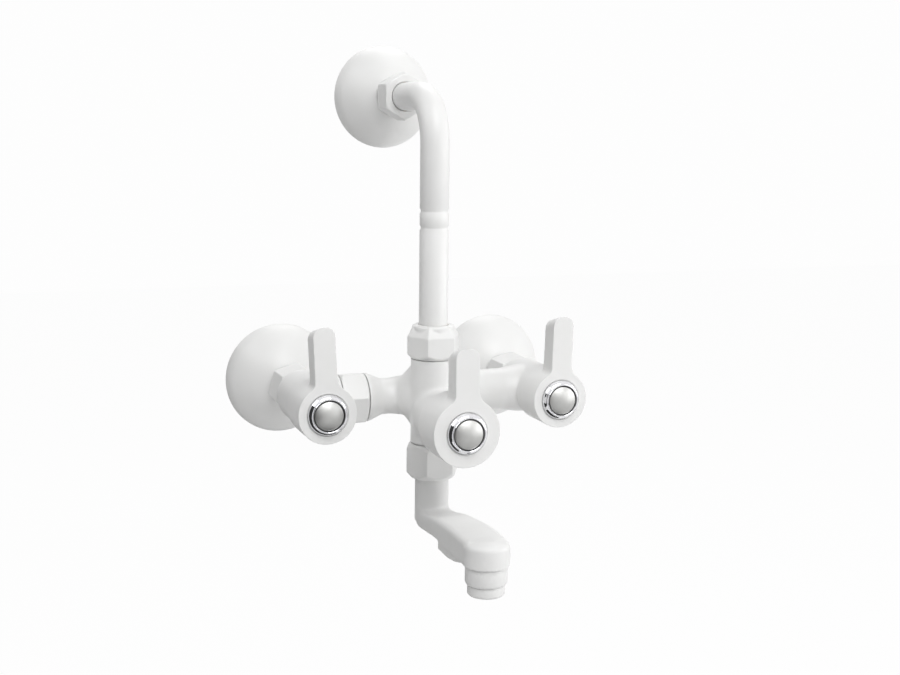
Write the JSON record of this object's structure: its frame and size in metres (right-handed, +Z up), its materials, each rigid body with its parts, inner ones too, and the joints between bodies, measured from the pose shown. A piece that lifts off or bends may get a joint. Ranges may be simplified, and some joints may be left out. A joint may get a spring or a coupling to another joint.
{
  "type": "wall mixer",
  "caption": "Wall-mounted lever mixer with side valves, a centre diverter valve, a bend pipe up to a top wall point and a swivel spout below.",
  "frame": {"origin": "on the wall plane, under the bend pipe and at the height of both inlets", "axes": "+X right, +Y into the wall, +Z up the bend pipe"},
  "size_m": [0.2234, 0.2252, 0.312],
  "materials": {
    "white_enamel": "satin",
    "plated_shank": "polished",
    "brass": "machined",
    "rubber": "matte",
    "slip_plastic": "matte",
    "valve_disc": "lapped",
    "chrome_ring": "polished",
    "satin_cap": "satin",
    "steel_screw": "plain"
  },
  "bodies": {
    "fixed": {"left_wall_flange": "white_enamel", "right_wall_flange": "white_enamel", "top_wall_flange": "white_enamel", "left_inlet_nut": "white_enamel", "right_inlet_nut": "white_enamel", "left_valve_body": "white_enamel", "union_nut": "white_enamel", "mixer_body": "white_enamel", "bend_pipe": "white_enamel", "upper_nut": "white_enamel", "top_nut": "white_enamel", "lower_nut": "white_enamel", "left_inlet_leg": "plated_shank", "right_inlet_leg": "plated_shank", "top_wall_leg": "plated_shank", "union_tail": "brass", "upper_ferrule": "brass", "top_ferrule": "brass", "left_bonnet": "brass", "right_bonnet": "brass", "centre_bonnet": "brass", "left_inlet_washer": "rubber", "right_inlet_washer": "rubber", "union_washer": "rubber", "upper_washer": "rubber", "top_washer": "rubber", "left_seat_seal": "rubber", "right_seat_seal": "rubber", "centre_seat_seal": "rubber", "glide_washer": "slip_plastic", "left_fixed_disc": "valve_disc", "right_fixed_disc": "valve_disc", "centre_fixed_disc": "valve_disc"},
    "left_handle_set": {"left_handle": "white_enamel", "left_bezel": "chrome_ring", "left_cap": "satin_cap", "left_screw": "steel_screw", "left_spindle": "brass", "left_moving_disc": "valve_disc"},
    "right_handle_set": {"right_handle": "white_enamel", "right_bezel": "chrome_ring", "right_cap": "satin_cap", "right_screw": "steel_screw", "right_spindle": "brass", "right_moving_disc": "valve_disc"},
    "centre_handle_set": {"centre_handle": "white_enamel", "centre_bezel": "chrome_ring", "centre_cap": "satin_cap", "centre_screw": "steel_screw", "centre_spindle": "brass", "centre_moving_disc": "valve_disc"},
    "spout_set": {"spout": "white_enamel", "spout_o_rings": "rubber", "spout_split_ring": "slip_plastic", "outlet_collar": "white_enamel", "aerator_shell": "white_enamel", "aerator_insert": "slip_plastic", "aerator_washer": "rubber"}
  },
  "joints": [
    {"name": "left_handle_turn", "type": "hinge", "parent": "fixed", "child": "left_handle_set", "pos_m": [-0.0716, -0.11, 0], "axis": [0, -1, 0], "range_deg": [0, 90]},
    {"name": "right_handle_turn", "type": "hinge", "parent": "fixed", "child": "right_handle_set", "pos_m": [0.0784, -0.11, 0], "axis": [0, -1, 0], "range_deg": [-90, 0]},
    {"name": "centre_handle_turn", "type": "hinge", "parent": "fixed", "child": "centre_handle_set", "pos_m": [0, -0.15, -0.0068], "axis": [0, -1, 0], "range_deg": [-90, 90]},
    {"name": "spout_swivel", "type": "hinge", "parent": "fixed", "child": "spout_set", "pos_m": [0, -0.1043, -0.04], "axis": [0, 0, 1], "range_deg": [-90, 90]}
  ]
}
